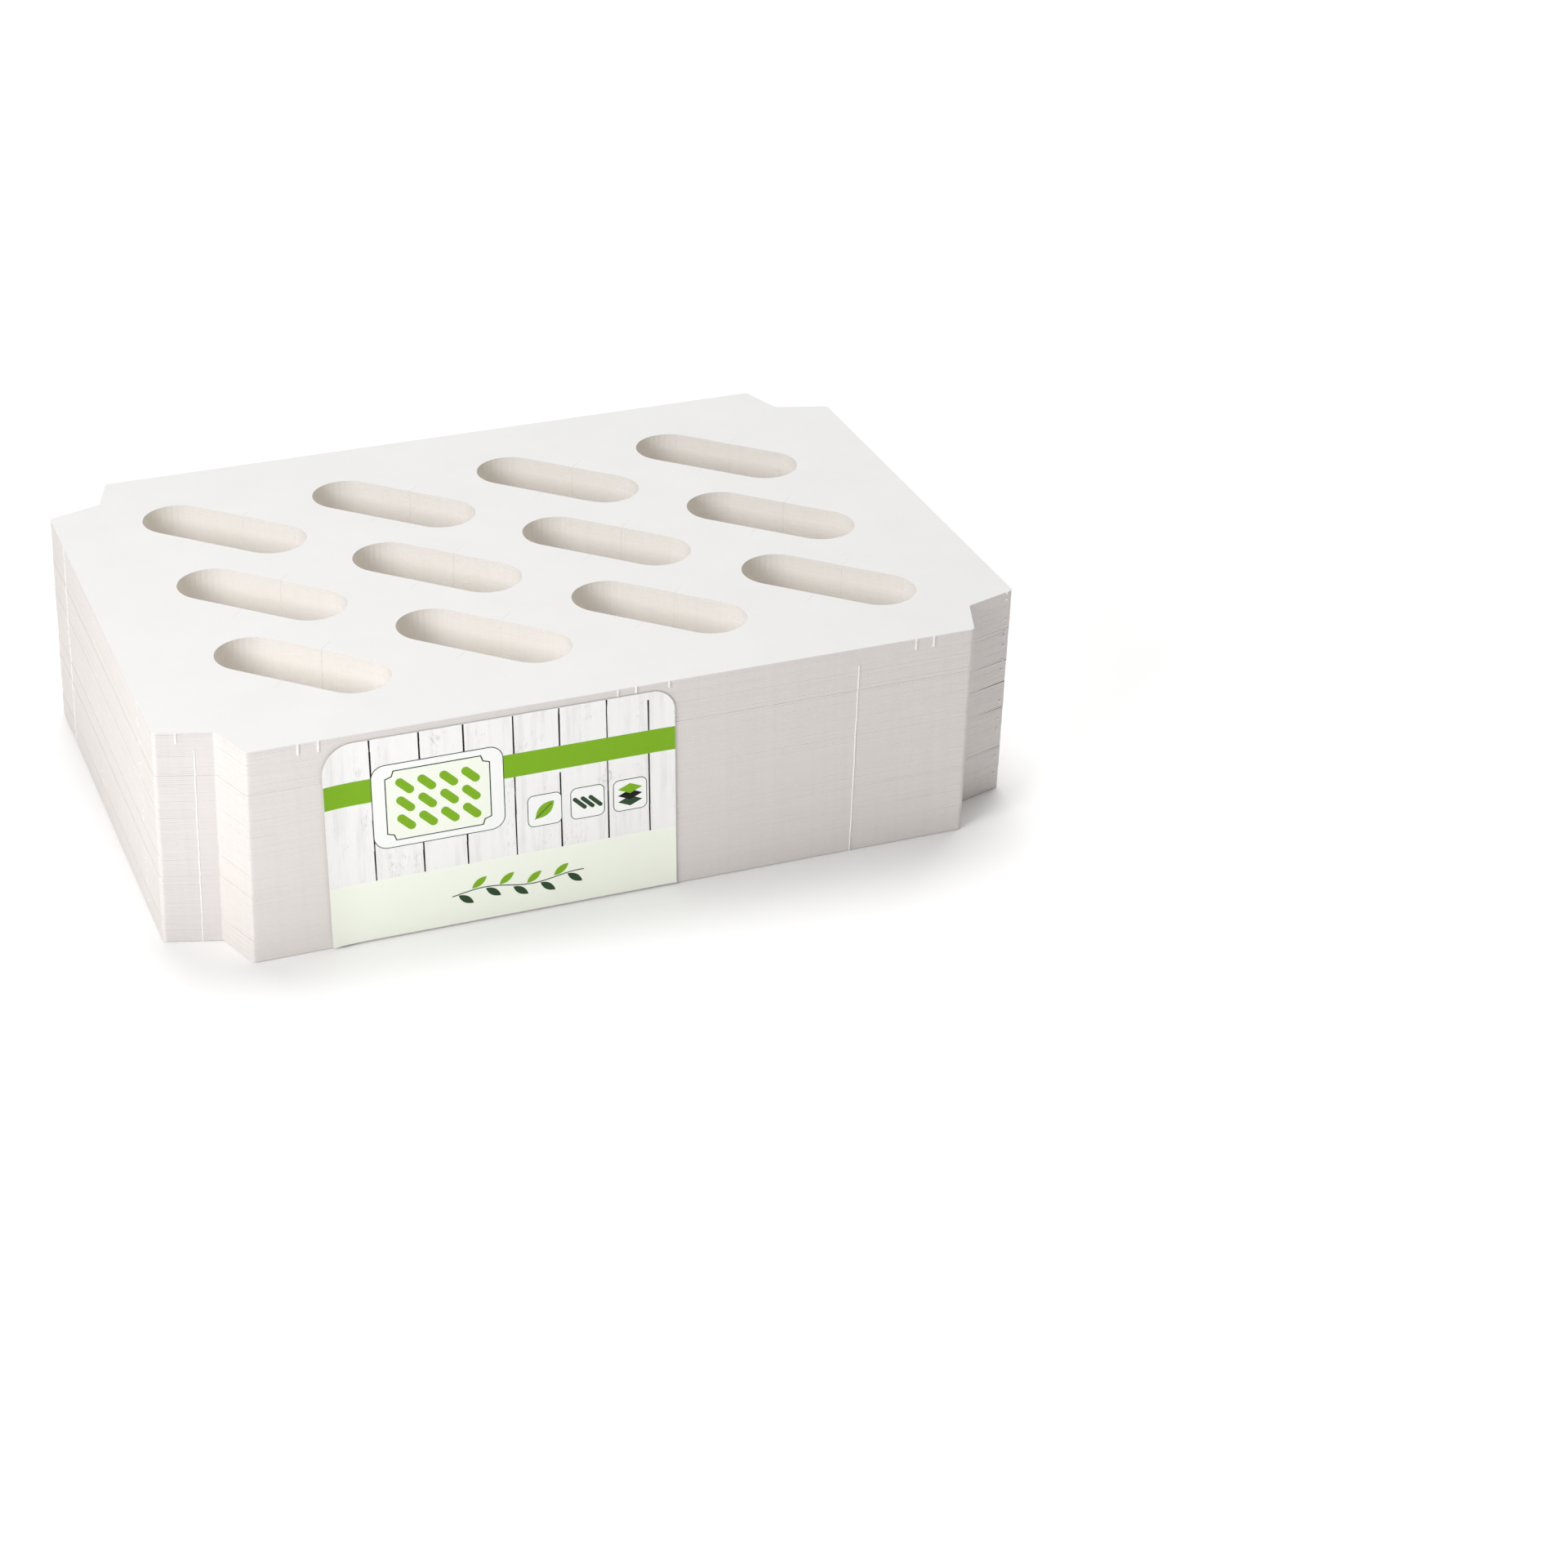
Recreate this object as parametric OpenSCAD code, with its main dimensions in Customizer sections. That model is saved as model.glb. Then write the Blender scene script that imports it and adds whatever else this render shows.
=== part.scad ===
// Stack of flat die-cut cupcake box inserts: pressed lifts of white board
// sheets, two loose sheets on top and a printed label on the front face.
// X runs along the front, Y to the back, Z up; the origin is the middle of
// the underside.

/* [Sheet] */
// Width of the middle panel, between the side folds
panel_w = 345; // [340:0.5:355]
// Depth of the middle panel, between the front and back folds
panel_d = 244; // [240:0.5:252]
// How far the left and right flaps stick out
side_flap = 25; // [20:0.5:36]
// How far the front and back flaps stick out
end_flap = 22.5; // [18:0.5:30]
// How much the left and right flaps narrow at each end
side_taper = 8; // [3:0.5:12]
// How much the front and back flaps narrow at each end
end_taper = 7.5; // [3:0.5:12]
// Rounding of the flaps' outer corners
flap_r = 2.5; // [1:0.25:5]
// Rounding of the inside corner between two flaps
notch_r = 2; // [1:0.25:3]

/* [Slots] */
// Slots side by side along the front
columns = 4; // [3:1:4]
// Rows of slots from front to back
rows = 3; // [2:1:3]
// Spacing of the slots along the front
pitch_x = 82; // [80:0.5:84]
// Spacing of the rows
pitch_y = 74.5; // [73:0.25:76]
// Length of a slot, over its round ends
slot_len = 84; // [70:0.5:86]
// Width of a slot
slot_w = 32.5; // [24:0.5:34]
// Slant of the slots, clockwise from the front edge
slot_slant = 44.5; // [40:0.5:48]
// Length of the relief slit in the middle of each long side
slit_len = 9; // [5:0.5:11]
// Width of the relief slit
slit_w = 0.4; // [0.3:0.1:1.5]

/* [Stack] */
// Room that one sheet takes in the pressed stack
sheet_t = 1.02; // [0.6:0.01:1.2]
// Sheets in the lowest lift
lift_1_sheets = 11; // [6:1:20]
// Sheets in the second lift
lift_2_sheets = 21; // [10:1:30]
// Sheets in the third lift
lift_3_sheets = 10; // [6:1:20]
// Sheets in the fourth lift
lift_4_sheets = 23; // [10:1:30]
// Sheets in the fifth lift
lift_5_sheets = 15; // [6:1:25]
// Sheets in the sixth lift, below the loose ones
lift_6_sheets = 18; // [6:1:25]
// How far the stack leans to the right, from its lowest to its uppermost sheet
lean = 3.4; // [0:0.2:4]
// How far the lifts stray to the front and back
stray = 0.2; // [0:0.05:0.5]

/* [Label] */
// Width of the label
label_w = 157; // [120:1:200]
// Gap between the label's top edge and the top of the stack
label_drop = 3.5; // [2:0.5:12]
// Gap between the label's bottom edge and the surface below
label_lift = 1.2; // [0.5:0.1:3]
// Thickness of the label
label_t = 0.4; // [0.3:0.1:0.8]
// Middle of the label, from the middle of the stack
label_x = -53.5; // [-80:1:80]
// Rounding of the label's upper left corner
label_r_left = 14; // [5:1:20]
// Rounding of the label's upper right corner
label_r_right = 10; // [5:1:20]

/* [Hidden] */
$fn = 64;
a = panel_w / 2;
b = panel_d / 2;
// height of each lift's underside, counted in sheets
n1 = lift_1_sheets;
n2 = n1 + lift_2_sheets;
n3 = n2 + lift_3_sheets;
n4 = n3 + lift_4_sheets;
n5 = n4 + lift_5_sheets;
n6 = n5 + lift_6_sheets;
stack_h = (n6 + 2) * sheet_t;
// place of each lift: its share of half the lean, then of the stray
place_1 = [-1, 0.7];
place_2 = [-0.66, -0.4];
place_3 = [-0.3, 0.8];
place_4 = [0.08, 0.1];
place_5 = [0.42, -1];
place_6 = [0.8, 0.3];
place_a = [0.92, 0.5];
place_b = [1, 1];
// the label lies on the lift that strays furthest to the front, and half its
// thickness moves the whole stack back, so the origin stays in the middle
front_y = -b - end_flap - stray + label_t / 2;

// Points of an arc about c with radius r, from angle t0 to t1
function arc(c, r, t0, t1, n) =
    [for (i = [0 : n]) let (t = t0 + (t1 - t0) * i / n) [c[0] + r * cos(t), c[1] + r * sin(t)]];
// A list of points scaled by sx and sy, and one in reverse order
function flip(pts, sx, sy) = [for (p = pts) [p[0] * sx, p[1] * sy]];
function turned(pts) = [for (i = [len(pts) - 1 : -1 : 0]) pts[i]];

// How far each kind of flap's ends lean from square, in degrees
side_lean = atan(side_taper / side_flap);
end_lean = atan(end_taper / end_flap);
// Middles of the three roundings in the front right corner: the front flap's
// outer corner, the notch between the flaps, and the right flap's outer corner
front_c = [a - flap_r / cos(end_lean) - end_taper * (end_flap - flap_r) / end_flap, -b - end_flap + flap_r];
notch_to = (side_lean - end_lean - 90) / 2;
notch_away = notch_r / cos((90 - end_lean - side_lean) / 2);
notch_c = [a + notch_away * cos(notch_to), -b + notch_away * sin(notch_to)];
right_c = [a + side_flap - flap_r, -b + flap_r / cos(side_lean) + side_taper * (side_flap - flap_r) / side_flap];
// Outline of the front right corner, then of the whole sheet with its four flaps
corner_points = concat(
    arc(front_c, flap_r, -90, -end_lean, 6),
    arc(notch_c, notch_r, 180 - end_lean, 90 + side_lean, 4),
    arc(right_c, flap_r, side_lean - 90, 0, 6));
outline_points = concat(corner_points, turned(flip(corner_points, 1, -1)),
    flip(corner_points, -1, -1), turned(flip(corner_points, -1, 1)));

// One slanted slot with round ends and a relief slit across its middle
module slot() {
    h = (slot_len - slot_w) / 2;
    rotate(-slot_slant) {
        square([2 * h, slot_w], center = true);
        for (k = [-1, 1]) translate([k * h, 0]) circle(slot_w / 2);
        square([slit_w, slot_w + 2 * slit_len], center = true);
    }
}

// Outline of a sheet lying flat, with all its slots cut out
module sheet_outline() {
    difference() {
        polygon(outline_points);
        for (i = [0 : columns - 1], j = [0 : rows - 1])
            translate([(i - (columns - 1) / 2) * pitch_x, (j - (rows - 1) / 2) * pitch_y]) slot();
    }
}

// Sheets number from .. to, pressed into one block, in their place in the stack
module sheets(from, to, place) {
    translate([place[0] * lean / 2, place[1] * stray + label_t / 2, from * sheet_t])
        linear_extrude(height = (to - from) * sheet_t) sheet_outline();
}

module insert_lift_1() { color([0.93, 0.92, 0.90]) sheets(0, n1, place_1); }
module insert_lift_2() { color([0.94, 0.93, 0.91]) sheets(n1, n2, place_2); }
module insert_lift_3() { color([0.93, 0.92, 0.90]) sheets(n2, n3, place_3); }
module insert_lift_4() { color([0.94, 0.93, 0.91]) sheets(n3, n4, place_4); }
module insert_lift_5() { color([0.93, 0.92, 0.90]) sheets(n4, n5, place_5); }
module insert_lift_6() { color([0.94, 0.93, 0.91]) sheets(n5, n6, place_6); }
module loose_insert_1() { color([0.96, 0.955, 0.95]) sheets(n6, n6 + 1, place_a); }
module loose_insert_2() { color([0.965, 0.96, 0.955]) sheets(n6 + 1, n6 + 2, place_b); }

// Printed label that stands flat against the front face
module front_label() {
    h = stack_h - label_drop - label_lift;
    color([0.80, 0.87, 0.66]) translate([label_x - label_w / 2, front_y, label_lift]) rotate([90, 0, 0])
        linear_extrude(height = label_t) {
            square([label_w, h - label_r_left]);
            translate([label_r_left, 0]) square([label_w - label_r_left - label_r_right, h]);
            translate([label_w - label_r_right - 1, 0]) square([label_r_right + 1, h - label_r_right]);
            translate([label_r_left, h - label_r_left]) circle(label_r_left);
            translate([label_w - label_r_right, h - label_r_right]) circle(label_r_right);
        }
}

insert_lift_1();
insert_lift_2();
insert_lift_3();
insert_lift_4();
insert_lift_5();
insert_lift_6();
loose_insert_1();
loose_insert_2();
front_label();
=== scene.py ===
import bmesh
import bpy
import math
import random
import numpy as np
from mathutils import Matrix, Vector
from mathutils.geometry import tessellate_polygon


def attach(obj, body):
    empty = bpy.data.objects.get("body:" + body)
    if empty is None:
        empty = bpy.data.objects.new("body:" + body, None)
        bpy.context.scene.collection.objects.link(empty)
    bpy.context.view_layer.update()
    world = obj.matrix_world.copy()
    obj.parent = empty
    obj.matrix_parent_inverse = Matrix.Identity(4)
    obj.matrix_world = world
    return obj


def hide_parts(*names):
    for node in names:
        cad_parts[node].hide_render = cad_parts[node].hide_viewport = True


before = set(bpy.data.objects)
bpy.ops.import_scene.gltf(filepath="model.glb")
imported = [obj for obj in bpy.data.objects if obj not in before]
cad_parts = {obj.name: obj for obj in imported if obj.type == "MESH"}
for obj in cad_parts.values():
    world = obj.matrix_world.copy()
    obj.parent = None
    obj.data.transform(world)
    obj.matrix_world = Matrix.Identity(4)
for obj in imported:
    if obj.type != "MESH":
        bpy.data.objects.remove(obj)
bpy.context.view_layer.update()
scene = bpy.context.scene

# ---------------------------------------------------------------- sizes, in millimetres, as in the CAD source
MM = 0.001
A = 172.5            # half the panel's width
B = 122.0            # half the panel's depth
SIDE_FLAP, END_FLAP = 25.0, 22.5
SIDE_TAPER, END_TAPER = 8.0, 7.5
FLAP_R, NOTCH_R = 2.5, 2.0
PITCH_X, PITCH_Y = 82.0, 74.5
SLOT_LEN, SLOT_W, SLANT = 84.0, 32.5, 44.5
SLIT_LEN, SLIT_W = 9.0, 0.06
SHEET_T = 1.02
LEAN = 3.4
STRAY = 0.2
LABEL_T = 0.4
Y_SHIFT = LABEL_T / 2
LIFTS = [("insert_lift_1", 0, 11, (-1.0, 0.7)),
         ("insert_lift_2", 11, 32, (-0.66, -0.4)),
         ("insert_lift_3", 32, 42, (-0.3, 0.8)),
         ("insert_lift_4", 42, 65, (0.08, 0.1)),
         ("insert_lift_5", 65, 80, (0.42, -1.0)),
         ("insert_lift_6", 80, 98, (0.8, 0.3)),
         ("loose_insert_1", 98, 99, (0.92, 0.5)),
         ("loose_insert_2", 99, 100, (1.0, 1.0))]
STACK_H = 100 * SHEET_T
LABEL_X0, LABEL_W = -53.5 - 78.5, 157.0
LABEL_Z0, LABEL_H = 1.2, STACK_H - 3.5 - 1.2
LABEL_RL, LABEL_RR = 14.0, 10.0
FRONT_Y = -B - END_FLAP - STRAY + LABEL_T / 2


def lin(c):
    """sRGB 0..255 to linear."""
    out = []
    for v in c:
        v /= 255.0
        out.append(v / 12.92 if v <= 0.04045 else ((v + 0.055) / 1.055) ** 2.4)
    return tuple(out)


# ---------------------------------------------------------------- node helpers
def material(name):
    m = bpy.data.materials.new(name)
    m.use_nodes = True
    nt = m.node_tree
    for n in list(nt.nodes):
        nt.nodes.remove(n)
    out = nt.nodes.new("ShaderNodeOutputMaterial")
    bsdf = nt.nodes.new("ShaderNodeBsdfPrincipled")
    nt.links.new(bsdf.outputs[0], out.inputs[0])
    return m, nt, bsdf


def node(nt, kind, **kw):
    n = nt.nodes.new(kind)
    for k, v in kw.items():
        setattr(n, k, v)
    return n


def coords(nt, scale):
    """Object coordinates scaled per axis, so that one unit is 1/scale metres."""
    tc = node(nt, "ShaderNodeTexCoord")
    mp = node(nt, "ShaderNodeMapping")
    nt.links.new(tc.outputs["Object"], mp.inputs["Vector"])
    mp.inputs["Scale"].default_value = scale
    return mp.outputs["Vector"]


def noise(nt, vec, scale=1.0, detail=4.0, rough=0.6):
    n = node(nt, "ShaderNodeTexNoise")
    n.inputs["Scale"].default_value = scale
    n.inputs["Detail"].default_value = detail
    n.inputs["Roughness"].default_value = rough
    nt.links.new(vec, n.inputs["Vector"])
    return n.outputs["Fac"]


def ramp(nt, fac, stops):
    r = node(nt, "ShaderNodeValToRGB")
    el = r.color_ramp.elements
    while len(el) > 1:
        el.remove(el[-1])
    el[0].position, el[0].color = stops[0][0], (*stops[0][1], 1)
    for p, c in stops[1:]:
        e = el.new(p)
        e.color = (*c, 1)
    nt.links.new(fac, r.inputs["Fac"])
    return r.outputs["Color"]


def mix(nt, fac, a, b, mode="MIX"):
    m = node(nt, "ShaderNodeMix", data_type="RGBA", blend_type=mode)
    if isinstance(fac, float):
        m.inputs["Factor"].default_value = fac
    else:
        nt.links.new(fac, m.inputs["Factor"])
    for v, i in ((a, 6), (b, 7)):
        if isinstance(v, tuple):
            m.inputs[i].default_value = (*v, 1)
        else:
            nt.links.new(v, m.inputs[i])
    return m.outputs[2]


def bump(nt, bsdf, height, strength, distance):
    b = node(nt, "ShaderNodeBump")
    b.inputs["Strength"].default_value = strength
    b.inputs["Distance"].default_value = distance
    nt.links.new(height, b.inputs["Height"])
    nt.links.new(b.outputs["Normal"], bsdf.inputs["Normal"])


# ---------------------------------------------------------------- materials
def board_face(name, tone):
    """Uncoated white board: faint cloudy formation and a fine fibre tooth."""
    m, nt, bsdf = material(name)
    v = coords(nt, (1000, 1000, 1000))
    cloud = noise(nt, v, 0.035, 5.0, 0.62)
    c1 = ramp(nt, cloud, [(0.30, tuple(x * 0.985 for x in tone)), (0.70, tuple(min(1, x * 1.012) for x in tone))])
    v2 = coords(nt, (1000, 1000, 1000))
    speck = noise(nt, v2, 0.9, 3.0, 0.7)
    c2 = ramp(nt, speck, [(0.28, (0.965, 0.962, 0.955)), (0.42, (1, 1, 1))])
    c = mix(nt, 0.55, c1, c2, "MULTIPLY")
    nt.links.new(c, bsdf.inputs["Base Color"])
    bsdf.inputs["Roughness"].default_value = 0.78
    bsdf.inputs["Specular IOR Level"].default_value = 0.28
    fine = noise(nt, coords(nt, (1000, 1000, 1000)), 2.6, 4.0, 0.7)
    bump(nt, bsdf, fine, 0.25, 0.00006)
    return m


def board_edge(name, tone, painted_shade_by_facing=None):
    """Cut edge of the board: warm grey, with fibres along each sheet and marks of the die down the stack, and optional
    painted shade by the way the cut faces.
    """
    m, nt, bsdf = material(name)
    # marks of the cutting die repeat on every sheet, so they run down the stack
    die = noise(nt, coords(nt, (420, 420, 6)), 1.0, 3.0, 0.6)
    c1 = ramp(nt, die, [(0.25, tuple(x * 0.982 for x in tone)), (0.5, tone), (0.78, tuple(min(1, x * 1.012) for x in tone))])
    # each sheet is a little lighter or darker than its neighbours
    sheet = noise(nt, coords(nt, (3, 3, 980)), 1.0, 1.0, 0.5)
    c2 = ramp(nt, sheet, [(0.3, (0.990, 0.989, 0.988)), (0.7, (1, 1, 1))])
    c = mix(nt, 0.8, c1, c2, "MULTIPLY")
    fibre = noise(nt, coords(nt, (900, 900, 4200)), 1.0, 3.0, 0.75)
    c3 = ramp(nt, fibre, [(0.3, (0.965, 0.96, 0.95)), (0.55, (1, 1, 1))])
    c = mix(nt, 0.6, c, c3, "MULTIPLY")
    if painted_shade_by_facing:
        # painted shade: the colour is darkened by a ramp over which way the cut faces along X, standing in for shade
        # from the light (0 is left, 1 is right)
        split = node(nt, "ShaderNodeSeparateXYZ")
        nt.links.new(node(nt, "ShaderNodeNewGeometry").outputs["True Normal"], split.inputs[0])
        half = node(nt, "ShaderNodeMath", operation="MULTIPLY_ADD")
        nt.links.new(split.outputs["X"], half.inputs[0])
        half.inputs[1].default_value = 0.5
        half.inputs[2].default_value = 0.5
        c = mix(nt, 1.0, c, ramp(nt, half.outputs[0], painted_shade_by_facing), "MULTIPLY")
    nt.links.new(c, bsdf.inputs["Base Color"])
    bsdf.inputs["Roughness"].default_value = 0.92
    bsdf.inputs["Specular IOR Level"].default_value = 0.12
    bump(nt, bsdf, fibre, 0.35, 0.00005)
    return m


def paper_print(name, tone, rough=0.42, fleck=0.03):
    m, nt, bsdf = material(name)
    n1 = noise(nt, coords(nt, (1000, 1000, 1000)), 1.6, 3.0, 0.65)
    c = ramp(nt, n1, [(0.3, tuple(x * (1 - fleck) for x in tone)), (0.7, tuple(min(1.0, x * (1 + fleck * 0.6)) for x in tone))])
    nt.links.new(c, bsdf.inputs["Base Color"])
    bsdf.inputs["Roughness"].default_value = rough
    bsdf.inputs["Specular IOR Level"].default_value = 0.2
    bump(nt, bsdf, n1, 0.08, 0.00003)
    return m


def plank_print(name):
    """Printed picture of whitewashed boards: upright grain, grey flecks where the wash is thin."""
    m, nt, bsdf = material(name)
    base = noise(nt, coords(nt, (260, 260, 22)), 1.0, 5.0, 0.65)
    c1 = ramp(nt, base, [(0.25, lin((236, 234, 232))), (0.5, lin((250, 249, 248))), (0.8, lin((254, 254, 254)))])
    fine = noise(nt, coords(nt, (1500, 1500, 110)), 1.0, 4.0, 0.7)
    c2 = ramp(nt, fine, [(0.26, (0.80, 0.79, 0.78)), (0.38, (1, 1, 1))])
    c = mix(nt, 0.5, c1, c2, "MULTIPLY")
    patch = noise(nt, coords(nt, (90, 90, 45)), 1.0, 3.0, 0.6)
    fleck = noise(nt, coords(nt, (2200, 2200, 420)), 1.0, 3.0, 0.7)
    mth = node(nt, "ShaderNodeMath", operation="MULTIPLY")
    nt.links.new(patch, mth.inputs[0])
    nt.links.new(fleck, mth.inputs[1])
    c3 = ramp(nt, mth.outputs[0], [(0.33, (1, 1, 1)), (0.42, (0.66, 0.65, 0.64))])
    c = mix(nt, 0.75, c, c3, "MULTIPLY")
    nt.links.new(c, bsdf.inputs["Base Color"])
    bsdf.inputs["Roughness"].default_value = 0.5
    bsdf.inputs["Specular IOR Level"].default_value = 0.2
    return m


FACE = board_face("board_face", (0.700, 0.693, 0.684))
# painted shade: the outer edge is darkened where the cut faces a little left of front, such as the left flap's front
# end, standing in for less light there
EDGE = board_edge("board_edge", (0.785, 0.742, 0.718), [(0.27, (1, 1, 1)), (0.33, (0.92, 0.925, 0.945)), (0.37, (0.92, 0.925, 0.945)), (0.44, (1, 1, 1))])
# slot walls: the same cut board, painted lighter than the outer edge to make up for the shade inside the slots, with
# painted warm shade where the walls face right, at the slots' left ends
SLOT_PAINTED_LIGHT = board_edge("slot_edge_painted_light", (0.960, 0.934, 0.907), [(0.45, (1, 1, 1)), (0.90, (1, 0.968, 0.90))])
TORN = board_edge("torn_fibre", (0.93, 0.92, 0.90))
PAPER = paper_print("label_paper", (0.90, 0.90, 0.885), 0.6, 0.02)
PLANK = plank_print("label_planks")
GREEN = paper_print("label_green", lin((129, 181, 26)), 0.5, 0.04)
PALE = paper_print("label_pale", lin((251, 255, 242)), 0.5, 0.008)
DARK = paper_print("label_dark", lin((46, 74, 44)), 0.42, 0.03)
JOINT = paper_print("label_joint", lin((14, 14, 13)), 0.5, 0.08)
WHITE = paper_print("label_white", lin((254, 254, 253)), 0.5, 0.005)


# ---------------------------------------------------------------- outline of one sheet
def arc(c, r, t0, t1, n):
    t = np.radians(np.linspace(t0, t1, n + 1))
    return np.stack([c[0] + r * np.cos(t), c[1] + r * np.sin(t)], -1)


# little tabs left where the die doesn't cut right through: (side, place along it, width, which sheets carry it)
NICKS_FRONT = [(-142.6, 0.9, "top"), (-133.9, 0.8, "top"), (-2.1, 0.7, "rim"), (6.2, 0.8, "rim"), (21.3, 0.8, "rim"), (110.1, 0.6, "line"), (137.1, 0.8, "top"), (145.6, 0.9, "top")]
NICKS_BACK = [(-120.0, 0.7, "all"), (-42.0, 0.7, "some"), (38.0, 0.7, "some"), (118.0, 0.7, "all")]
NICKS_SIDE = [(-84.0, 0.7, "some"), (12.0, 0.7, "some"), (80.0, 0.7, "all")]


def quadrant():
    """Front right corner of the outline, counter-clockwise, from the front edge to the right edge."""
    sl = math.degrees(math.atan(SIDE_TAPER / SIDE_FLAP))
    el = math.degrees(math.atan(END_TAPER / END_FLAP))
    fc = (A - FLAP_R / math.cos(math.radians(el)) - END_TAPER * (END_FLAP - FLAP_R) / END_FLAP, -B - END_FLAP + FLAP_R)
    to = math.radians((sl - el - 90) / 2)
    away = NOTCH_R / math.cos(math.radians((90 - el - sl) / 2))
    nc = (A + away * math.cos(to), -B + away * math.sin(to))
    rc = (A + SIDE_FLAP - FLAP_R, -B + FLAP_R / math.cos(math.radians(sl)) + SIDE_TAPER * (SIDE_FLAP - FLAP_R) / SIDE_FLAP)
    q1 = arc(fc, FLAP_R, -90, -el, 7)
    q2 = arc(nc, NOTCH_R, 180 - el, 90 + sl, 5)
    q3 = arc(rc, FLAP_R, sl - 90, 0, 7)

    def between(p, q, n):
        t = np.linspace(0, 1, n + 2)[1:-1, None]
        return p + (q - p) * t
    return np.concatenate([q1, between(q1[-1], q2[0], 2), q2, between(q2[-1], q3[0], 3), q3])


def tab_points(centre, along, out, width):
    """Four points of a tab, with how far each stands out (1 or 0) kept apart."""
    a, o = np.array(along, float), np.array(out, float)
    c = np.array(centre, float)
    s = [(-0.5, 0), (-0.32, 1), (0.32, 1), (0.5, 0)]
    return [(c + a * width * k, o * u) for k, u in s]


def outline():
    """Points, and for each point the direction and group of the tab that it belongs to."""
    q = quadrant()
    pts, tabs, group = [], [], []

    def add(p, o=(0.0, 0.0), g=-1):
        pts.append(np.array(p, float)); tabs.append(np.array(o, float)); group.append(g)

    names = []

    def tab(c, along, out, w, kind):
        names.append(kind)
        for p, o in tab_points(c, along, out, w):
            add(p, o, len(names) - 1)
    yb, xr = -B - END_FLAP, A + SIDE_FLAP
    # front right corner, with a tab near the outer end of the right flap, then the right edge
    for p in q[:19]:
        add(p)
    along = (q[19] - q[15]) / np.linalg.norm(q[19] - q[15])
    tab(q[15] + (q[19] - q[15]) * 0.93, along, (along[1], -along[0]), 0.8, "few")
    for p in q[19:]:
        add(p)
    for y, w, kind in NICKS_SIDE:
        tab((xr, y), (0, 1), (1, 0), w, kind)
    for p in (q * [1, -1])[::-1]:
        add(p)
    for x, w, kind in sorted(NICKS_BACK, reverse=True):
        tab((x, -yb), (-1, 0), (0, 1), w, kind)
    for p in (q * [-1, -1]):
        add(p)
    for y, w, kind in sorted(NICKS_SIDE, reverse=True):
        tab((-xr, y), (0, -1), (-1, 0), w, kind)
    # front left corner, with two tabs in the end of the left flap
    ql = (q * [-1, 1])[::-1]
    for p in ql[:8]:
        add(p)
    along = (ql[11] - ql[7]) / np.linalg.norm(ql[11] - ql[7])
    tab(ql[7] + (ql[11] - ql[7]) * 0.343, along, (along[1], -along[0]), 0.9, "top")
    tab(ql[7] + (ql[11] - ql[7]) * 0.66, along, (along[1], -along[0]), 0.6, "line")
    for p in ql[11:]:
        add(p)
    for x, w, kind in NICKS_FRONT:
        tab((x, yb), (1, 0), (0, -1), w, kind)
    for xx in (150.0, 154.0, 158.0, 161.0):
        add((xx, yb))
    return np.array(pts), np.array(tabs), np.array(group), names


def slot_loop(cx, cy):
    """One slot, clockwise, with a fine slit across the middle."""
    h, r, s = (SLOT_LEN - SLOT_W) / 2, SLOT_W / 2, SLIT_W / 2
    e = r + SLIT_LEN
    p = [(s, r), (s, r + 0.5 * SLIT_LEN), (0.4 * s, e), (-0.4 * s, e), (-s, r + 0.5 * SLIT_LEN), (-s, r)]
    loop = []
    loop += [tuple(v) for v in arc((h, 0), r, -90, 90, 18)]
    loop += p
    loop += [tuple(v) for v in arc((-h, 0), r, 90, 270, 18)]
    loop += [(-x, -y) for x, y in p]
    loop = np.array(loop)[::-1]
    a = math.radians(-SLANT)
    rot = np.array([[math.cos(a), -math.sin(a)], [math.sin(a), math.cos(a)]])
    return loop @ rot.T + [cx, cy]


OUT, TABS, GROUP, KINDS = outline()
SLOTS = [slot_loop((i - 1.5) * PITCH_X, (j - 1) * PITCH_Y) for j in range(3) for i in range(4)]
LOOPS = [OUT] + SLOTS
SIZES = [len(l) for l in LOOPS]
STARTS = np.concatenate([[0], np.cumsum(SIZES)[:-1]])
FLAT = np.concatenate(LOOPS)
NP = len(FLAT)


def inward(loop):
    """Unit direction at each point that shrinks the card, scaled so that each edge moves by one."""
    a = loop - np.roll(loop, 1, 0)
    b = np.roll(loop, -1, 0) - loop
    a /= np.maximum(np.linalg.norm(a, axis=1, keepdims=True), 1e-9)
    b /= np.maximum(np.linalg.norm(b, axis=1, keepdims=True), 1e-9)
    na = np.stack([-a[:, 1], a[:, 0]], -1)
    nb = np.stack([-b[:, 1], b[:, 0]], -1)
    m = na + nb
    ln = np.maximum(np.linalg.norm(m, axis=1, keepdims=True), 1e-6)
    m /= ln
    k = np.maximum((m * na).sum(1, keepdims=True), 0.45)
    return m / k


INWARD = np.concatenate([inward(l) for l in LOOPS])
# the caps are cut into triangles with every tab stood out, so none crosses an edge when it does
SPREAD = FLAT.copy()
SPREAD[:len(OUT)] += TABS * 0.4
CAP = np.array(tessellate_polygon([[Vector((x, y, 0)) for x, y in SPREAD[a:a + n]] for a, n in zip(STARTS, SIZES)]), int)


def area2(t, p):
    a, b, c = p[t[:, 0]], p[t[:, 1]], p[t[:, 2]]
    return (b[:, 0] - a[:, 0]) * (c[:, 1] - a[:, 1]) - (b[:, 1] - a[:, 1]) * (c[:, 0] - a[:, 0])


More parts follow.
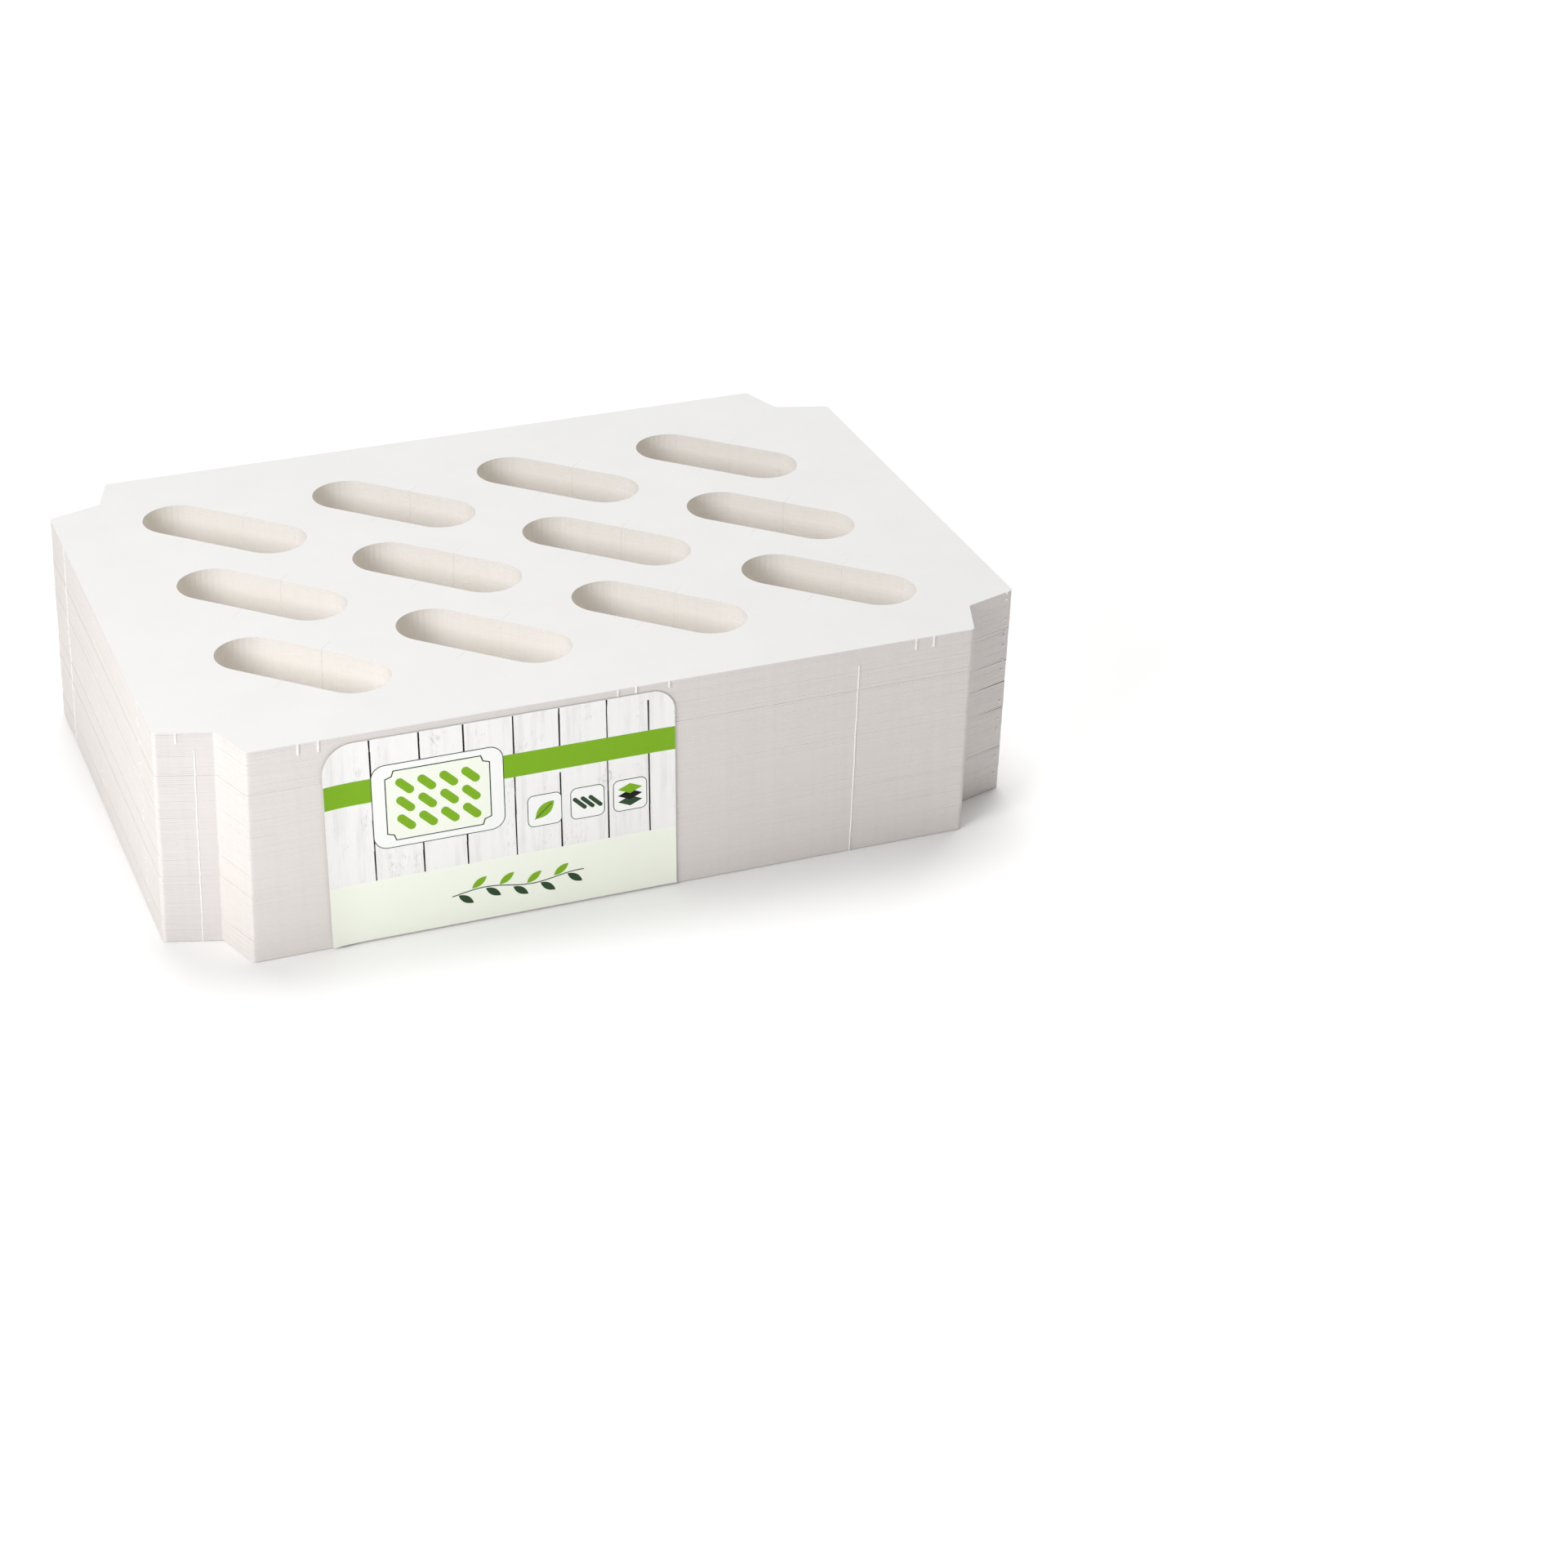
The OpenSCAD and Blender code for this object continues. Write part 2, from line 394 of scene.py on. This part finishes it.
flipped = area2(CAP, SPREAD) < 0
CAP[flipped] = CAP[flipped][:, ::-1]
RING_NEXT = np.concatenate([np.roll(np.arange(n), -1) + s for n, s in zip(SIZES, STARTS)])
LEVELS = 4
walls = []
for k in range(LEVELS - 1):
    i = np.arange(NP)
    walls.append(np.stack([i + k * NP, RING_NEXT + k * NP, RING_NEXT + (k + 1) * NP, i + (k + 1) * NP], -1))
WALLS = np.concatenate(walls)
GROUP_ALL = np.concatenate([GROUP, np.full(NP - SIZES[0], -1)])
ends_of = np.stack([WALLS[:, 0] % NP, WALLS[:, 1] % NP], -1)
TORN_WALL = (GROUP_ALL[ends_of[:, 0]] >= 0) & (GROUP_ALL[ends_of[:, 0]] == GROUP_ALL[ends_of[:, 1]])

rng = np.random.RandomState(20)
# slow drift of the sheets inside a lift, plus a little play of each sheet
DRIFT = np.cumsum(rng.normal(0, 0.02, (100, 2)), 0)
DRIFT -= np.linspace(0, 1, 100)[:, None] * DRIFT[-1]
PLAY = rng.normal(0, 0.009, (100, 2))
for k in (7, 23, 37, 52, 58, 71, 77, 88, 93):
    PLAY[k] += rng.normal(0, 0.02, 2)
TURN = rng.normal(0, 0.004, 100)
# the sheets part a little at the flaps' free corners, most of all at the right flap's front corner
PARTS = {66: 0.20, 55: 0.30, 42: 0.26, 41: 0.06, 22: 0.16}
OPEN = np.abs(rng.normal(0, 0.02, (101, 4)))


def sheet_mesh(i, offset):
    """Vertices of sheet i, in millimetres, as four rings from its underside to its top."""
    t = SHEET_T - 0.006
    p = FLAT.copy()
    side = np.zeros(len(p))
    # tabs of this sheet
    grow = np.zeros(len(KINDS))
    for g, kind in enumerate(KINDS):
        r = rng.uniform(0.0, 1.0)
        if kind == "top" or kind == "rim":
            grow[g] = 0.34 + 0.16 * r if i >= (95 if kind == "top" else 97) else 0.0
        elif kind == "line":
            grow[g] = 0.22 + 0.08 * r if i < 92 else 0.05 * r
        elif kind == "few":
            grow[g] = 0.30 + 0.2 * r if r > 0.86 else 0.0
        elif kind == "all":
            grow[g] = 0.10 + 0.16 * r
        else:
            grow[g] = 0.14 * r if r > 0.45 else 0.0
    torn = np.where(GROUP_ALL[ends_of[:, 0]] >= 0, grow[GROUP_ALL[ends_of[:, 0]]], 0.0) > 0.12
    n0 = SIZES[0]
    m = GROUP >= 0
    p[:n0][m] += TABS[m] * grow[GROUP[m]][:, None]
    # ragged by a few hundredths of a millimetre, so the cut edge isn't ruled
    rough = rng.normal(0, 0.008, len(p))
    p -= INWARD * rough[:, None]
    ang = math.radians(TURN[i])
    rot = np.array([[math.cos(ang), -math.sin(ang)], [math.sin(ang), math.cos(ang)]])
    # steps from lift to lift, and a little of the same lean inside each lift
    step = 0.25 * offset[0] + 0.75 * ((i + 0.5) / 50.0 - 1.0)
    move = np.array([step * LEAN / 2, offset[1] * STRAY * 0.5 + Y_SHIFT]) + PLAY[i] + DRIFT[i] * 0.6
    # how much each point takes part in the parting at the free corners
    ends = np.zeros((4, len(p)))
    tip = np.zeros(len(p))
    for c, (sx, sy) in enumerate(((1, -1), (-1, -1), (1, 1), (-1, 1))):
        fx = np.clip((p[:, 0] * sx - 148.0) / 21.0, 0, 1) ** 1.4
        fy = np.clip((p[:, 1] * sy - B) / END_FLAP, 0, 1)
        gx = np.clip((p[:, 0] * sx - A) / SIDE_FLAP, 0, 1)
        gy = np.clip((p[:, 1] * sy - 88.0) / 26.0, 0, 1) ** 1.4
        ends[c] = np.maximum(fx * fy, gx * gy)
        if c == 0:
            tip = gx * gy
    under = OPEN[i] * 1.0
    over = OPEN[i + 1] * 1.0
    lo = (ends * under[:, None]).max(0)
    hi = (ends * over[:, None]).max(0)
    lo = np.maximum(lo, tip * PARTS.get(i, 0.0))
    hi = np.maximum(hi, tip * PARTS.get(i + 1, 0.0))
    z0 = i * SHEET_T
    rings = []
    profile = ((0.0, 0.008), (0.04, 0.0), (t - 0.06, 0.0), (t, 0.010))
    if i == 0:
        profile = ((0.0, 0.75), (0.34, 0.10), (t - 0.06, 0.0), (t, 0.010))
    for z, inset in profile:
        q = (p + INWARD * inset) @ rot.T + move
        low = np.full(len(q), z0 + z)
        if z < 0.5:
            low = low + lo
        else:
            low = low - hi
        rings.append(np.column_stack([q, low]))
    return np.concatenate(rings), TORN_WALL & torn


def build_lift(name, first, last, offset):
    verts, mats = [], []
    wall = np.where(WALLS[:, 0] % NP < SIZES[0], 1, 2)
    tris, quads = [], []
    n = 0
    for i in range(first, last):
        v, torn = sheet_mesh(i, offset)
        mats.append(np.where(torn, 3, wall))
        verts.append(v)
        quads.append(WALLS + n)
        tris.append(CAP[:, ::-1] + n)
        tris.append(CAP + n + (LEVELS - 1) * NP)
        n += len(v)
    verts = np.concatenate(verts) * MM
    quads = np.concatenate(quads)
    tris = np.concatenate(tris)
    me = bpy.data.meshes.new(name + "_sheets")
    nl = len(quads) * 4 + len(tris) * 3
    me.vertices.add(len(verts))
    me.vertices.foreach_set("co", verts.astype(np.float32).ravel())
    me.loops.add(nl)
    me.loops.foreach_set("vertex_index", np.concatenate([quads.ravel(), tris.ravel()]).astype(np.int32))
    me.polygons.add(len(quads) + len(tris))
    start = np.concatenate([np.arange(len(quads)) * 4, len(quads) * 4 + np.arange(len(tris)) * 3])
    me.polygons.foreach_set("loop_start", start.astype(np.int32))
    me.polygons.foreach_set("material_index", np.concatenate(mats + [np.zeros(len(tris))]).astype(np.int32))
    me.polygons.foreach_set("use_smooth", np.zeros(len(start), bool))
    me.materials.append(FACE)
    me.materials.append(EDGE)
    me.materials.append(SLOT_PAINTED_LIGHT)
    me.materials.append(TORN)
    me.update(calc_edges=True)
    me.validate()
    ob = bpy.data.objects.new(name + "_sheets", me)
    scene.collection.objects.link(ob)
    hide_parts(name)
    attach(ob, "root")
    return ob


for name, first, last, off in LIFTS:
    build_lift(name, first, last, off)


def outward(ob):
    """Turns all faces of a closed mesh outwards."""
    bm = bmesh.new()
    bm.from_mesh(ob.data)
    bmesh.ops.recalc_face_normals(bm, faces=bm.faces)
    bm.to_mesh(ob.data)
    bm.free()
    return ob


# ---------------------------------------------------------------- the label
def bow(x):
    """How far the label stands off the stack at x, from its left edge, in millimetres."""
    return 1.3 * max(0.0, (16.0 - x) / 16.0) ** 2 + 0.25 * max(0.0, (x - (LABEL_W - 10.0)) / 10.0) ** 2


def label_point(x, z, out=0.0):
    return ((LABEL_X0 + x) * MM, (FRONT_Y - LABEL_T - bow(x) - out) * MM, (LABEL_Z0 + z) * MM)


def label_top(x):
    if x < LABEL_RL:
        return LABEL_H - LABEL_RL + math.sqrt(max(0.0, LABEL_RL ** 2 - (LABEL_RL - x) ** 2))
    if x > LABEL_W - LABEL_RR:
        d = x - (LABEL_W - LABEL_RR)
        return LABEL_H - LABEL_RR + math.sqrt(max(0.0, LABEL_RR ** 2 - d ** 2))
    return LABEL_H


STRIPE = (67.6, 78.9)
FIELD = 29.0


def build_label():
    xs = [LABEL_RL * (1 - math.cos(t)) for t in np.linspace(0, math.pi / 2, 15)]
    xs += list(np.linspace(LABEL_RL, LABEL_W - LABEL_RR, 34)[1:])
    xs += [LABEL_W - LABEL_RR + LABEL_RR * math.sin(t) for t in np.linspace(0, math.pi / 2, 12)[1:]]
    bands = [(0.0, 0), (FIELD, 2), (STRIPE[0], 1), (STRIPE[1], 3)]
    zs = [0.0, FIELD, STRIPE[0], STRIPE[1], None]
    mats = [PALE, PLANK, GREEN, PLANK]
    verts, faces, fm = [], [], []
    rows = len(zs)
    for side in (0, 1):
        for x in xs:
            for z in zs:
                zz = label_top(x) if z is None else z
                px, py, pz = label_point(x, zz)
                verts.append((px, py + (LABEL_T * 0.9 * MM if side else 0.0), pz))
    n = len(xs) * rows
    idx = {0: 0, 1: 1, 2: 2, 3: 1}
    for c in range(len(xs) - 1):
        for r in range(rows - 1):
            a0 = c * rows + r
            b0 = (c + 1) * rows + r
            faces.append((a0, b0, b0 + 1, a0 + 1)); fm.append(idx[r])
            faces.append((n + a0, n + a0 + 1, n + b0 + 1, n + b0)); fm.append(3)
        a0, b0 = c * rows, (c + 1) * rows
        faces.append((a0, n + a0, n + b0, b0)); fm.append(3)
        a1, b1 = a0 + rows - 1, b0 + rows - 1
        faces.append((a1, b1, n + b1, n + a1)); fm.append(3)
    for r in range(rows - 1):
        faces.append((r, r + 1, n + r + 1, n + r)); fm.append(3)
        k = (len(xs) - 1) * rows + r
        faces.append((k, n + k, n + k + 1, k + 1)); fm.append(3)
    me = bpy.data.meshes.new("label_card")
    me.from_pydata(verts, [], faces)
    for m in (PALE, PLANK, GREEN, PAPER):
        me.materials.append(m)
    for p, k in zip(me.polygons, fm):
        p.material_index = k
    me.update()
    ob = bpy.data.objects.new("label_card", me)
    scene.collection.objects.link(ob)
    outward(ob)
    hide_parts("front_label")
    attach(ob, "root")
    return ob


build_label()

INK = 0.02


def ink(name, polys, mat, layer=1):
    """Flat printed shapes: each polygon is a thin closed layer on the label."""
    verts, faces = [], []
    for poly in polys:
        n = len(poly)
        s = len(verts)
        for out in (layer * INK, (layer - 1) * INK + 0.002):
            for x, z in poly:
                verts.append(label_point(x, z, out))
        faces.append(tuple(range(s, s + n)))
        faces.append(tuple(reversed(range(s + n, s + 2 * n))))
        for k in range(n):
            j = (k + 1) % n
            faces.append((s + k, s + n + k, s + n + j, s + j))
    me = bpy.data.meshes.new(name)
    me.from_pydata(verts, [], faces)
    me.materials.append(mat)
    me.update()
    ob = bpy.data.objects.new(name, me)
    scene.collection.objects.link(ob)
    outward(ob)
    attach(ob, "root")
    return ob


def rounded(x0, z0, x1, z1, r, n=8):
    out = []
    for cx, cz, t0 in ((x1 - r, z0 + r, -90), (x1 - r, z1 - r, 0), (x0 + r, z1 - r, 90), (x0 + r, z0 + r, 180)):
        for k in range(n + 1):
            t = math.radians(t0 + 90 * k / n)
            out.append((cx + r * math.cos(t), cz + r * math.sin(t)))
    return out


def disc(cx, cz, r, n=40):
    return [(cx + r * math.cos(2 * math.pi * k / n), cz + r * math.sin(2 * math.pi * k / n)) for k in range(n)]


def pill(cx, cz, length, width, ang, n=8):
    h, r = (length - width) / 2, width / 2
    pts = [(h + r * math.cos(t), r * math.sin(t)) for t in np.linspace(-math.pi / 2, math.pi / 2, n + 1)]
    pts += [(-h + r * math.cos(t), r * math.sin(t)) for t in np.linspace(math.pi / 2, 1.5 * math.pi, n + 1)]
    a = math.radians(ang)
    return [(cx + x * math.cos(a) - y * math.sin(a), cz + x * math.sin(a) + y * math.cos(a)) for x, y in pts]


# joints between the printed boards: thin dark strokes of uneven width, some broken off
jr = random.Random(7)
joints = []
for k, x in enumerate((21.0, 42.5, 62.0, 84.0, 104.5, 126.0, 145.0)):
    spans = [(FIELD, STRIPE[0]), (STRIPE[1], label_top(x) - 0.02)]
    for z0, z1 in spans:
        z = z0
        while z < z1 - 0.5:
            step = min(jr.uniform(9, 26), z1 - z)
            w0, w1 = jr.uniform(0.26, 0.42), jr.uniform(0.26, 0.42)
            drift = jr.uniform(-0.12, 0.12)
            joints.append([(x - w0, z), (x + w0, z), (x + w1 + drift, z + step), (x - w1 + drift, z + step)])
            z += step + (jr.uniform(1.0, 4.0) if jr.random() < 0.08 else 0.0)
ink("label_joints", joints, JOINT)

def shifted(pts, dx, dz, k=1.0, ang=0.0):
    a = math.radians(ang)
    return [(dx + k * (x * math.cos(a) - z * math.sin(a)), dz + k * (x * math.sin(a) + z * math.cos(a))) for x, z in pts]


def leaf(cx, cz, length, width, ang, n=9):
    """A pointed leaf."""
    h = length / 2
    up = [(h - length * k / n, width / 2 * math.sin(math.pi * k / n) ** 0.85) for k in range(n + 1)]
    low = [(x, -z) for x, z in reversed(up[1:-1])]
    return shifted(up + low, cx, cz, 1.0, ang)


def bar(x0, z0, x1, z1, w):
    dx, dz = x1 - x0, z1 - z0
    ln = math.hypot(dx, dz)
    nx, nz = -dz / ln * w / 2, dx / ln * w / 2
    return [(x0 + nx, z0 + nz), (x0 - nx, z0 - nz), (x1 - nx, z1 - nz), (x1 + nx, z1 + nz)]


# a white plate over the stripe, with a small drawing of the flat sheet and its slots
PX, PZ = 50.0, 64.0
ink("label_plate_rim", [rounded(PX - 29.3, PZ - 20.3, PX + 29.3, PZ + 20.3, 6.3)], DARK, 2)
ink("label_plate", [rounded(PX - 28.9, PZ - 19.9, PX + 28.9, PZ + 19.9, 5.9)], WHITE, 3)
K = 0.118
sheet_drawing = [(x * K + PX, y * K + PZ) for x, y in np.concatenate([quadrant(), (quadrant() * [1, -1])[::-1], quadrant() * [-1, -1], (quadrant() * [-1, 1])[::-1]])]
ink("label_sheet_line", [sheet_drawing], DARK, 4)
inner = [(PX + (x - PX) * 0.978, PZ + (z - PZ) * 0.970) for x, z in sheet_drawing]
ink("label_sheet_fill", [inner], PALE, 5)
ink("label_sheet_slots", [pill(PX + (i - 1.5) * PITCH_X * K, PZ + (j - 1) * PITCH_Y * K, SLOT_LEN * K, SLOT_W * K, -SLANT) for i in range(4) for j in range(3)], GREEN, 6)
# three small square plates below the stripe
tiles, tile_rims = [], []
for cx in (97.0, 116.5, 136.0):
    tile_rims.append(rounded(cx - 7.8, 41.2, cx + 7.8, 56.8, 2.9))
    tiles.append(rounded(cx - 7.45, 41.55, cx + 7.45, 56.45, 2.55))
ink("label_tile_rims", tile_rims, DARK, 2)
ink("label_tiles", tiles, WHITE, 3)
ink("label_tile_leaf", [leaf(97.0, 49.0, 11.5, 5.6, 42)], GREEN, 4)
ink("label_tile_rib", [bar(92.4, 44.9, 100.2, 51.9, 0.34)], DARK, 5)
ink("label_tile_slots", [pill(112.9, 49.0, 8.2, 1.9, -45), pill(116.5, 49.0, 8.2, 1.9, -45), pill(120.1, 49.0, 8.2, 1.9, -45)], DARK, 4)
layers = []
for k, z in enumerate((45.9, 49.0, 52.1)):
    layers.append([(130.4, z), (136.0, z - 2.5), (141.6, z), (136.0, z + 2.5)])
ink("label_tile_layers", layers[:1], DARK, 4)
ink("label_tile_layers_mid", layers[1:2], JOINT, 5)
ink("label_tile_layers_top", layers[2:], GREEN, 6)
# a sprig of leaves along the pale field
sprig_a, sprig_b = [], []
for k in range(9):
    x = 58.0 + 6.2 * k
    z = 14.6 + 1.3 * math.sin(k * 0.9)
    (sprig_a if k % 2 else sprig_b).append(leaf(x + 2.2, z + (3.1 if k % 2 else -3.1), 8.4, 3.3, 36 if k % 2 else -36))
ink("label_sprig_green", sprig_a, GREEN, 2)
ink("label_sprig_dark", sprig_b, DARK, 2)
stem = [(54.0 + 1.5 * k, 14.6 + 1.3 * math.sin((54.0 + 1.5 * k - 58.0) / 6.2 * 0.9)) for k in range(41)]
ink("label_sprig_stem", [bar(*stem[k], *stem[k + 1], 0.45) for k in range(40)], DARK, 3)


scene.world = bpy.data.worlds.new("studio")
scene.world.use_nodes = True
bg = scene.world.node_tree.nodes["Background"]
bg.inputs["Color"].default_value = (1.0, 0.985, 0.97, 1)
bg.inputs["Strength"].default_value = 0.29

# ---------------------------------------------------------------- floor, light, camera
me = bpy.data.meshes.new("floor")
me.from_pydata([(-30, -30, 0), (30, -30, 0), (30, 30, 0), (-30, 30, 0)], [], [(0, 1, 2, 3)])
floor = bpy.data.objects.new("floor", me)
scene.collection.objects.link(floor)
fm_, nt_, b_ = material("floor_white")
b_.inputs["Base Color"].default_value = (0.97, 0.97, 0.97, 1)
b_.inputs["Roughness"].default_value = 0.9
b_.inputs["Specular IOR Level"].default_value = 0.1
me.materials.append(fm_)


def area(name, where, target, size, power, color=(1, 1, 1)):
    l = bpy.data.lights.new(name, "AREA")
    l.shape = "RECTANGLE"
    l.size, l.size_y = size
    l.energy = power
    l.color = color
    o = bpy.data.objects.new(name, l)
    scene.collection.objects.link(o)
    o.location = where
    o.rotation_euler = (Vector(target) - Vector(where)).to_track_quat("-Z", "Y").to_euler()
    return o


# a near soft light from the front left, and a broad one overhead, a little behind the stack
area("side", (-0.85, -0.58, 0.60), (-0.10, -0.05, 0.05), (0.5, 0.5), 7.1, (1.0, 1.0, 1.0))
area("overhead", (0.5, 1.0, 2.6), (0, 0, 0.05), (2.0, 2.0), 70.0, (0.99, 1.0, 1.0))

cam_data = bpy.data.cameras.new("camera")
cam = bpy.data.objects.new("camera", cam_data)
scene.collection.objects.link(cam)
cam_data.sensor_width = 36.0
cam_data.clip_end = 100.0
# the photograph's view: above the front left corner, with the stack left of the middle of the frame
cam_data.lens = 36.0 * 4200.0 / 1920.0
right = Vector((0.932791, -0.360354, 0.006754))
away = Vector((0.317834, 0.813601, -0.486863)).normalized()
up = right.cross(away)
rot = Matrix((right, up, -away)).transposed().to_4x4()
cam.matrix_world = Matrix.Translation((-0.40843, -1.38513, 0.78338)) @ rot
scene.camera = cam

scene.view_settings.view_transform = "Standard"
scene.view_settings.look = "None"
scene.view_settings.exposure = 0.0
scene.view_settings.gamma = 1.0
